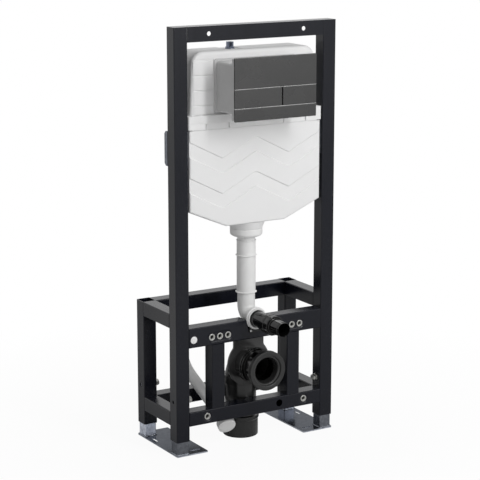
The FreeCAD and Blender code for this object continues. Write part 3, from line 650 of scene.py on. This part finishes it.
def panel(node, thickness):
    """Panel with a low chamfer: rounded rectangles from the back to the edge and in to the front face."""
    low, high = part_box(node)
    edge = plate_chamfer * np.tan(chamfer_tilt)
    inset = [0, 0, plate_chamfer * 0.1, plate_chamfer, plate_chamfer + panel_rim]
    depth = [thickness, edge + panel_side, edge * 0.9, 0, 0]
    centre = np.array([(low.x + high.x) / 2, low.y, (low.z + high.z) / 2])
    rings = []
    for margin, back in zip(inset, depth):
        line = round_rectangle((high.x - low.x) / 2 - margin, (high.z - low.z) / 2 - margin,
                               plate_corner + plate_chamfer + panel_rim - margin)
        rings.append(centre + np.column_stack([line[:, 0], np.full(len(line), back), line[:, 1]]))
    return np.array(rings)


def button_stems(node):
    """Round stems behind a button that run in the carrier's guides: cylinders with a chamfered end."""
    low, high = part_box(node)
    level = (low.z + high.z) / 2
    reach = high.y - low.y
    distance = np.array([button_thickness - stem_bite, reach - stem_chamfer, reach])
    radius = np.array([stem_radius, stem_radius, stem_radius - stem_chamfer])
    return [sweep(radius, distance, straight((x, low.y, level), (0, 1, 0)), (1, 0, 0), 32)
            for x in (low.x + stem_inset, high.x - stem_inset)]


def seam_highlight_bars():
    """Thin white bars in the seams above and below the buttons: a painted highlight along the chamfers."""
    button_low, button_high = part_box("full_flush_button")
    upper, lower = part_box("flush_plate_upper"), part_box("flush_plate_lower")
    bars = []
    for base, top in ((button_high.z, upper[0].z), (lower[1].z, button_low.z)):
        bars.append(trim_bar((upper[0].x + seam_inset, upper[0].y + seam_sink, base + seam_play),
                             (upper[1].x - seam_inset, upper[0].y + plate_thickness, top - seam_play)))
    return bars


# The seam bars stand in for the chamfers' highlight: painted highlight, whiter than the grey carrier.
piece("seam_highlight_bars", white_plastic, "frame", solids=seam_highlight_bars())
for name in ("upper", "lower"):
    piece("panel_" + name, anthracite, "frame",
          solids=[panel("flush_plate_" + name, plate_thickness)], replaces=["flush_plate_" + name])
for name in ("full", "half"):
    node = name + "_flush_button"
    piece("button_" + name, anthracite, name + "_button",
          solids=[panel(node, button_thickness)] + button_stems(node), replaces=[node])

# Collar nut under the tank and the flush pipe below it, blow moulded in white plastic: a thin neck, a wider
# sleeve between two beads, a bend forward and a socket in the bowl bar's notch.
nut_low, nut_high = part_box("flush_collar_nut")
pipe_low, pipe_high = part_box("flush_pipe")
nut_play = 0.0003
nut_lip = 0.002
nut_lip_height = 0.0012
nut_side = 0.0192
nut_shoulder = (0.0360, 0.0240)
nut_throat = 0.0272
bead = 0.0295
neck = 0.02425
sleeve = 0.026
wall = 0.0025
bend_radius = 0.030
bead_length = 0.005
bead_steps = (0.0010, 0.0022, 0.0030, 0.0042)
neck_length = 0.007
lip_rise = 0.0010
lip_steps = (0.0010, 0.0030, 0.0038)
upper_bead_drop = 0.080
lower_bead_rise = 0.063
socket_length = 0.014
socket_rim = 0.0055
socket_step = 0.0022
seat_depth = 0.009
seat_radius = 0.0228
seat_chamfer = 0.0026
pipe_spacing = 0.0035
pipe_y = pipe_high.y - bead
socket_radius = (pipe_high.x - pipe_low.x) / 2
flush_height = pipe_low.z + socket_radius


def dense(outline, spacing):
    """Closed outline with more points along its long sides, at even distances run along it."""
    closed = np.vstack([outline, outline[:1]])
    run = np.concatenate([[0], np.cumsum(np.linalg.norm(np.diff(closed, axis=0), axis=1))])
    marks = np.union1d(run[:-1], np.arange(0, run[-1], spacing))
    return np.column_stack([np.interp(marks, run, closed[:, axis]) for axis in range(2)])


def bent(start, corner, end, radius):
    """Two runs joined by an arc: a function of distances that gives the axis's points and directions.

    Also gives its length and the normal of the plane that it bends in. On the arc the heading turns
    from one run to the other by distance / radius.
    """
    start, corner, end = (np.array(point, float) for point in (start, corner, end))
    first = (corner - start) / np.linalg.norm(corner - start)
    last = (end - corner) / np.linalg.norm(end - corner)
    angle = np.arccos(first @ last)
    trim = radius * np.tan(angle / 2)
    run = np.linalg.norm(corner - start) - trim
    arc = radius * angle
    normal = np.cross(first, last) / np.linalg.norm(np.cross(first, last))
    inward = np.cross(normal, first)
    arc_start = start + first * run
    arc_end = corner + last * trim

    def path(distance):
        turned = np.clip((distance - run) / radius, 0, angle)[:, None]
        curve = arc_start + radius * (np.sin(turned) * first + (1 - np.cos(turned)) * inward)
        before = np.minimum(distance - run, 0)[:, None] * first
        after = np.maximum(distance - run - arc, 0)[:, None] * last
        return curve + before + after, np.cos(turned) * first + np.sin(turned) * inward
    return path, run + arc + np.linalg.norm(end - arc_end), normal


def collar_nut():
    """Nut with a straight side and a round shoulder down to its throat, turned about the pipe's axis."""
    height = nut_high.z - nut_low.z
    outer = (nut_high.x - nut_low.x) / 2
    bore = neck + nut_play
    outline = eased([(bore, 0), (outer - nut_lip, 0), (outer, nut_lip_height), (outer, nut_side),
                     nut_shoulder, (nut_throat, height), (bore, height)],
                    [0.0004, 0.001, 0.001, 0.0055, 0.004, 0.0008, 0.0004], 8)
    axis = straight((0, pipe_y, nut_high.z), (0, 0, -1))
    return sweep(outline[:, 0], outline[:, 1], axis, (1, 0, 0))


def flush_pipe():
    """Outline of neck, lip, sleeve, two beads, bend and socket, carried down the pipe's bent axis."""
    path, length, across = bent((0, pipe_y, pipe_high.z), (0, pipe_y, flush_height),
                                (0, pipe_low.y, flush_height), bend_radius)
    sleeve_top = pipe_high.z - nut_low.z + neck_length
    lip = sleeve + lip_rise
    corners = [(neck - wall, 0), (neck, 0), (neck, sleeve_top)]
    corners += [(radius, sleeve_top + step) for radius, step in zip((lip, lip, sleeve), lip_steps)]
    eases = [0.0004, 0.0004, 0.0008, 0.0008, 0.0006, 0.0006]
    lower_base = pipe_high.z - flush_height - lower_bead_rise
    for base in (upper_bead_drop - bead_length, lower_base - bead_length):
        corners += [(radius, base + step) for radius, step in zip((sleeve, bead, bead, sleeve), bead_steps)]
        eases += [0.0006, 0.0006, 0.0006, 0.0006]
    corners[-1] = (neck, lower_base)
    socket = length - socket_length
    rim = socket_radius - socket_step
    corners += [(neck, socket), (socket_radius, socket + 0.001), (socket_radius, length - socket_rim),
                (rim, length - socket_rim + 0.0005), (rim, length), (seat_radius + socket_step, length),
                (seat_radius, length - seat_chamfer), (seat_radius, length - seat_depth),
                (neck - wall, length - seat_depth)]
    eases += [0.001, 0.0008, 0.0008, 0.0005, 0.0006, 0.0006, 0.0006, 0.0004, 0.0004]
    outline = dense(eased(corners, eases), pipe_spacing)
    return sweep(outline[:, 0], outline[:, 1], path, across)


piece("collar_nut", white_plastic, "frame", rings=[collar_nut()],
      replaces=["flush_collar_nut"])
piece("flush_pipe_bent", white_plastic, "frame", rings=[flush_pipe()],
      replaces=["flush_pipe"])

# Flush connector: a glossy black sleeve pushed into the bend's socket, with a coupling ring that has a
# flat on its top, and the saddle under the socket. All are moulded.
BLACK_LOW = (0.0030, 0.0030, 0.0030, 1)
BLACK_HIGH = (0.0055, 0.0055, 0.0055, 1)
black_plastic = clouded("black_plastic", {"IOR": 1.5, "Specular IOR Level": 0.34}, (BLACK_LOW, BLACK_HIGH),
                        (28, 2), (0.06, 0.08))
dress(black_plastic, "black_plastic")

connector_low, connector_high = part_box("flush_connector")
coupling_low, coupling_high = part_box("connector_coupling")
connector_radius = 0.0225
connector_bore = 0.0175
sleeve_radius = 0.0205
sleeve_step = 0.0012
sleeve_nose = 0.006
coupling_play = 0.0003
coupling_groove = 0.0012
groove_top = 0.004
groove_floor = 0.003
rim_chamfer = 0.001
forward = straight((0, connector_high.y, flush_height), (0, -1, 0))


def connector():
    """Tube with a shoulder in front of the coupling and a stepped nose, turned about the flush axis."""
    length = connector_high.y - connector_low.y
    shoulder = connector_high.y - coupling_low.y
    nose = sleeve_radius - sleeve_step
    outline = eased([(connector_bore, 0), (connector_radius, 0), (connector_radius, shoulder + 0.0005),
                     (sleeve_radius, shoulder + 0.0015), (sleeve_radius, length - sleeve_nose),
                     (nose, length - sleeve_nose + 0.0005), (nose, length),
                     (connector_bore + sleeve_step, length), (connector_bore, length - 0.004)], 0.0007)
    return sweep(outline[:, 0], outline[:, 1], forward, (1, 0, 0))


def coupling(around=120):
    """Ring with a flat: radius = the smaller of the ring's and flat height / cos(turn from the top)."""
    outer = (coupling_high.x - coupling_low.x) / 2
    start = connector_high.y - coupling_high.y
    end = connector_high.y - coupling_low.y
    bore = connector_radius + coupling_play
    middle = (start + end) / 2
    waist = outer - coupling_groove
    outline = eased([(bore, start), (outer - rim_chamfer, start), (outer, start + rim_chamfer),
                     (outer, middle - groove_top), (waist, middle - groove_floor),
                     (waist, middle + groove_floor), (outer, middle + groove_top),
                     (outer, end - rim_chamfer), (outer - rim_chamfer, end), (bore, end)], 0.0006)
    flat = coupling_high.z - flush_height
    from_top = np.cos(turns(around) + np.pi / 2)
    limit = np.where(from_top > 0.1, flat / np.maximum(from_top, 0.1), outer)
    radius = np.minimum(outline[:, :1], limit)
    return sweep(radius, outline[:, 1], forward, (1, 0, 0), around)


piece("flush_connector_sleeve", black_plastic, "frame", rings=[connector()],
      replaces=["flush_connector"])
piece("coupling_ring", black_plastic, "frame", rings=[coupling()],
      replaces=["connector_coupling"])

# Waste: a glossy spigot with a flanged mouth and two ribs, its rubber lip seal, the satin elbow with its
# plate on the bowl bar, and the outlet pipe. All but the seal are moulded in black polyethylene.
spigot_low, spigot_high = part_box("waste_spigot")
seal_low, seal_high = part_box("waste_seal")
outlet_low, outlet_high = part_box("waste_outlet")
flange = (spigot_high.x - spigot_low.x) / 2
waste_height = (spigot_low.z + spigot_high.z) / 2
waste_radius = 0.044
waste_bore = 0.0405
flange_length = 0.014
mouth = 0.042
mouth_chamfer = 0.002
seal_depth = 0.005
seal_length = 0.007
seal_groove = 0.0473
rib = 0.0515
rib_length = 0.004
rib_pitch = 0.009
seal_lip = 0.038
seal_throat = (0.0345, 0.032)
seal_hinge = 0.0355
outlet_radius = 0.0437
outlet_socket = 0.049
outlet_wall = 0.0035
outlet_seat = 0.0555
outlet_bead_top = 0.059
outlet_bead_low = 0.0505
outlet_bead_base = 0.0465
# Reach of the painted shade below the waste axis and the painted light above it:
painted_shade_below = 0.035
painted_light_above = 0.025
inward = straight((0, spigot_low.y, waste_height), (0, 1, 0))


def spigot():
    """Tube with a flange at its mouth, two ribs at its end and the seal's groove, turned about its axis."""
    length = spigot_high.y - spigot_low.y
    corners = [(mouth + mouth_chamfer, 0), (flange - rim_chamfer, 0), (flange, rim_chamfer),
               (flange, flange_length - rim_chamfer), (flange - rim_chamfer, flange_length),
               (waste_radius, flange_length)]
    for start in (length - rib_pitch - rib_length, length - rib_length):
        corners += [(waste_radius, start), (rib, start), (rib, start + rib_length),
                    (waste_radius, start + rib_length)]
    corners[-1] = (waste_bore, length)
    corners += [(waste_bore, seal_depth + seal_length), (seal_groove, seal_depth + seal_length),
                (seal_groove, seal_depth), (mouth, seal_depth), (mouth, mouth_chamfer)]
    outline = eased(corners, 0.0009)
    return sweep(outline[:, 0], outline[:, 1], inward, (1, 0, 0), 128)


def lip_seal():
    """Ring with a lip that narrows inwards, turned about the spigot's axis."""
    start = seal_low.y - spigot_low.y
    back = start + seal_length
    end = start + seal_high.y - seal_low.y
    outer = (seal_high.x - seal_low.x) / 2
    outline = eased([(seal_lip, start), (outer, start), (outer, back), (seal_lip, back),
                     (seal_throat[0], end), (seal_throat[1], end), (seal_hinge, start + seal_length * 0.6)],
                    0.0008)
    return sweep(outline[:, 0], outline[:, 1], inward, (1, 0, 0), 128)


def outlet():
    """Outlet pipe with a bead at the top of its wider socket, turned about its axis."""
    top = outlet_high.z - outlet_low.z
    bead_radius = (outlet_high.x - outlet_low.x) / 2
    seat = outlet_socket - outlet_wall
    outline = eased([(waste_bore, outlet_seat), (waste_bore, top), (outlet_radius, top),
                     (outlet_radius, outlet_bead_top + rim_chamfer),
                     (bead_radius - rim_chamfer, outlet_bead_top),
                     (bead_radius, outlet_bead_top - rim_chamfer), (bead_radius, outlet_bead_low),
                     (outlet_socket, outlet_bead_base), (outlet_socket, rim_chamfer),
                     (outlet_socket - rim_chamfer, 0), (seat, 0), (seat, outlet_seat)], 0.0008)
    axis = straight((0, (outlet_low.y + outlet_high.y) / 2, outlet_low.z), (0, 0, 1))
    return sweep(outline[:, 0], outline[:, 1], axis, (1, 0, 0), 128)


def satin_black_shaded(name, low, high):
    """Satin black plastic, darker at the foot and lighter at the plate on the bowl bar: painted shade below,
    painted light above.
    """
    material, shader, place = finish(name, {"IOR": 1.5, "Specular IOR Level": 0.45})
    # Painted light and shade by height alone: grey at the plate's height, near black below.
    upper = place.along(2).ramp(waste_height - painted_shade_below, waste_height + painted_light_above)
    upper.between((low, low, low, 1), (high, high, high, 1)).into(shader, "Base Color")
    (0.14 + place.noise(24, 2) * 0.10).into(shader, "Roughness")
    place.noise(900, 1).bump(0.03, 0.0002).into(shader, "Normal")
    return material


elbow_black_shaded = satin_black_shaded("elbow_plastic_shaded", 0.016, 0.060)
outlet_black_shaded = satin_black_shaded("outlet_plastic_shaded", 0.020, 0.060)
coat("waste_elbow", elbow_black_shaded)

FLANGE_GREY = (0.013, 0.013, 0.013, 1)
spigot_black, shader, place = finish("spigot_plastic", {"IOR": 1.5, "Specular IOR Level": 0.45})
flange_back = spigot_low.y + flange_length
body = place.along(1).ramp(flange_back - mouth_chamfer, flange_back)
body.between(FLANGE_GREY, BLACK_LOW).into(shader, "Base Color")
(0.42 - body * 0.30).into(shader, "Roughness")

RUBBER_LOW = (0.018, 0.018, 0.018, 1)
RUBBER_HIGH = (0.026, 0.026, 0.026, 1)
rubber = clouded("seal_rubber", {"IOR": 1.5, "Specular IOR Level": 0.5}, (RUBBER_LOW, RUBBER_HIGH), (60, 3),
                 (0.20, 0.1))
dress(rubber, "seal_rubber")

piece("waste_spigot_ribbed", spigot_black, "frame", rings=[spigot()],
      replaces=["waste_spigot"])
piece("waste_lip_seal", rubber, "frame", rings=[lip_seal()], replaces=["waste_seal"])
piece("waste_outlet_pipe", outlet_black_shaded, "frame", rings=[outlet()],
      replaces=["waste_outlet"])

# White stub pipe with a flat cap on its wider end. It lies under the lower bar and on the rear rail, and
# bends up at its rear end.
tube_corner = 0.003
rest_gap = 0.0003
stub_radius = 0.016
stub_wall = 0.002
stub_socket = 0.025
stub_socket_length = 0.020
stub_length = 0.212
stub_nose = 0.020
stub_x = -0.071
stub_lean = -5.0
stub_nose_lean = 8.0
stub_cap = 0.004
stub_bend_radius = 0.090
stub_bend_turn = np.radians(32)
stub_tail = 0.040
stub_spacing = 0.006


def stub_line():
    """Point under the lower bar where the pipe turns, and the slope that touches both bars' corners."""
    front_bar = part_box("lower_crossbar")
    rear_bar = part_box("rear_lower_rail")
    front = np.array([0, front_bar[1].y - tube_corner, front_bar[0].z + tube_corner])
    rear = np.array([0, rear_bar[0].y + tube_corner, rear_bar[1].z - tube_corner])
    front_gap = tube_corner + rest_gap + stub_socket
    rear_gap = tube_corner + rest_gap + stub_radius
    span = rear - front
    pitch = np.arctan2(span[2], span[1]) + np.arcsin((front_gap + rear_gap) / np.linalg.norm(span))
    return front + np.array([stub_x, np.sin(pitch) * front_gap, -np.cos(pitch) * front_gap]), pitch


def stub_heading(lean):
    """Unit vector that rises by the slope and leans aside by an angle in degrees."""
    heading = np.array([np.tan(np.radians(lean)), np.cos(stub_pitch), np.sin(stub_pitch)])
    return heading / np.linalg.norm(heading)


def stub_pipe():
    """Pipe from the nose back to its upward bend: a ring of outer and inner wall carried along the path."""
    ahead = stub_heading(stub_lean)
    rise = np.array([ahead[0], ahead[1] * np.cos(stub_bend_turn) - ahead[2] * np.sin(stub_bend_turn),
                     ahead[1] * np.sin(stub_bend_turn) + ahead[2] * np.cos(stub_bend_turn)])
    corner = stub_knee + ahead * stub_length
    path, length, across = bent(stub_knee, corner, corner + rise * stub_tail, stub_bend_radius)
    bore = stub_radius - stub_wall
    outline = eased([(bore, 0), (stub_radius, 0), (stub_radius, length), (bore, length)], 0.0008)
    outline = dense(outline, stub_spacing)
    return sweep(outline[:, 0], outline[:, 1], path, across)


def stub_ends():
    """Wider nose with a rounded shoulder, and the flat cap in front of it."""
    ahead = stub_heading(stub_nose_lean)
    across = np.cross(ahead, [0, 0, 1])
    across /= np.linalg.norm(across)
    axis = straight(stub_knee - ahead * stub_nose, ahead)
    bore = stub_radius - stub_wall
    end = stub_cap + stub_socket_length
    nose = eased([(bore, stub_cap), (stub_socket, stub_cap), (stub_socket, end - 0.004),
                  (stub_radius + 0.001, end), (bore, end)], [0.0006, 0.0006, 0.003, 0.001, 0.0004])
    cap_radius = stub_socket - np.array([stub_socket * 0.5, 0.001, 0.0003, 0, 0])
    cap_distance = np.array([0, 0, 0.0003, 0.001, stub_cap])
    return sweep(nose[:, 0], nose[:, 1], axis, across), sweep(cap_radius, cap_distance, axis, across)


stub_knee, stub_pitch = stub_line()
stub_nose_ring, stub_cap_disc = stub_ends()
piece("stub_pipe_bent", white_plastic, "frame", rings=[stub_pipe(), stub_nose_ring],
      replaces=["stub_pipe"])
piece("stub_end_cap", white_plastic, "frame", solids=[stub_cap_disc], replaces=["stub_cap"])

# Studio: a pale floor that runs out to a white surround, two strip lights and three soft boxes, and the
# camera at the height of a standing person, turned to the frame's left front.
FLOOR_PALE = (0.78, 0.78, 0.78, 1)
FLOOR_SIZE = 6.0
WHITE = (1, 1, 1, 1)
NEAR_SHARE = 0.94
NEAR_ZONE = (0.4, 1.3)
DIM_SPOT = (1.2, -2.0, 0)
DIM_ZONE = (1.6, 3.3)
CLEAR_ZONE = (0.3, 1.2)
PANEL_ACROSS = (0.883, 0.469, 0)
PANEL_EDGE = (-0.27, -0.16)
FRONT_ZONE = (0.0, -1.0)
WORLD_LIGHT = 0.34


def light_rays(start):
    """Values that are 1 for camera rays, and for mirror or glass rays."""
    names = ("Is Camera Ray", "Is Glossy Ray", "Is Transmission Ray")
    seen, glossy, through = (start.node("LightPath", output=name) for name in names)
    return seen, glossy + through


def studio_floor():
    """Square floor: diffuse for light and shadow, and white further out to camera, mirror and glass rays.

    The white's share grows with the distance from the object. To mirror and glass rays it grows slower,
    the floor in front stays dim, and behind the object it is white only to the left.
    """
    material = bpy.data.materials.new("studio_floor")
    material.use_nodes = True
    tree = material.node_tree
    tree.nodes.remove(tree.nodes["Principled BSDF"])
    start = Shade(tree)
    seen, mirrored = light_rays(start)
    place = start.node("TexCoord", output="Object")
    away = start.node("VectorMath", {"operation": "LENGTH"}, {0: place}, 1)
    near = away.ramp(*NEAR_ZONE, NEAR_SHARE)
    clear = away.ramp(*CLEAR_ZONE)
    far = start.node("VectorMath", {"operation": "DISTANCE"}, {0: place, 1: DIM_SPOT}, 1).ramp(*DIM_ZONE)
    across = start.node("VectorMath", {"operation": "DOT_PRODUCT"}, {0: place, 1: PANEL_ACROSS}, 1)
    behind = across.ramp(*PANEL_EDGE, 1.0, 0.0)
    before = place.along(1).ramp(*FRONT_ZONE)
    pale = far * clear * behind.maths("MAXIMUM", behind, before)
    matt = start.node("BsdfDiffuse", None, {"Color": FLOOR_PALE})
    white = start.node("Emission", None, {"Color": WHITE, "Strength": 1.0})
    mixed = start.node("MixShader", None, {0: seen * near + mirrored * pale, 1: matt, 2: white})
    mixed.into(tree.nodes["Material Output"], "Surface")
    mesh = bpy.data.meshes.new("studio_floor")
    corners = [(-FLOOR_SIZE, -FLOOR_SIZE, 0), (FLOOR_SIZE, -FLOOR_SIZE, 0), (FLOOR_SIZE, FLOOR_SIZE, 0),
               (-FLOOR_SIZE, FLOOR_SIZE, 0)]
    mesh.from_pydata(corners, [], [(0, 1, 2, 3)])
    mesh.materials.append(material)
    floor = bpy.data.objects.new("studio_floor", mesh)
    bpy.context.scene.collection.objects.link(floor)


def surround():
    """World: white to camera, mirror and glass rays, and dimmer as a light."""
    world = bpy.data.worlds.new("surround")
    bpy.context.scene.world = world
    world.use_nodes = True
    seen, mirrored = light_rays(Shade(world.node_tree))
    background = world.node_tree.nodes["Background"]
    background.inputs["Color"].default_value = WHITE
    (WORLD_LIGHT + (seen + mirrored) * (1 - WORLD_LIGHT)).into(background, "Strength")


def soft_box(name, place, target, size, power):
    """Rectangle of light of a width and a height, aimed at a target and unseen by the camera."""
    lamp = bpy.data.lights.new(name, "AREA")
    lamp.shape = "RECTANGLE"
    lamp.size, lamp.size_y = size
    lamp.energy = power
    box = bpy.data.objects.new(name, lamp)
    box.location = place
    aim = Vector(target) - Vector(place)
    box.rotation_euler = aim.to_track_quat("-Z", "Y").to_euler()
    box.visible_camera = False
    bpy.context.scene.collection.objects.link(box)


CENTRE = (0, 0, 0.6)
studio_floor()
surround()
soft_box("key_strip", (0.70, -3.0, 2.0), CENTRE, (0.45, 2.2), 45)
soft_box("edge_strip", (1.75, -2.9, 2.0), CENTRE, (0.25, 1.6), 7)
soft_box("front_box", (0.2, -1.9, 2.9), CENTRE, (1.8, 1.0), 14)
soft_box("top_box", (0.2, 0.4, 3.0), CENTRE, (1.6, 1.6), 10)
soft_box("back_box", (1.3, 2.4, 2.9), CENTRE, (1.6, 1.4), 14)

CAMERA_LEFT = -2.3266
CAMERA_BACK = 3.7755
CAMERA_HEIGHT = 1.5480
CAMERA_YAW = 31.06
CAMERA_PITCH = 12.40
CAMERA_LENS = 126.26
SENSOR_WIDTH = 36
lens = bpy.data.cameras.new("photo_camera")
lens.lens = CAMERA_LENS
lens.sensor_width = SENSOR_WIDTH
camera = bpy.data.objects.new("photo_camera", lens)
camera.location = (CAMERA_LEFT, FRONT - CAMERA_BACK, CAMERA_HEIGHT)
camera.rotation_euler = np.radians((90 - CAMERA_PITCH, 0, -CAMERA_YAW))
bpy.context.scene.collection.objects.link(camera)
bpy.context.scene.camera = camera
bpy.context.scene.view_settings.view_transform = "Standard"
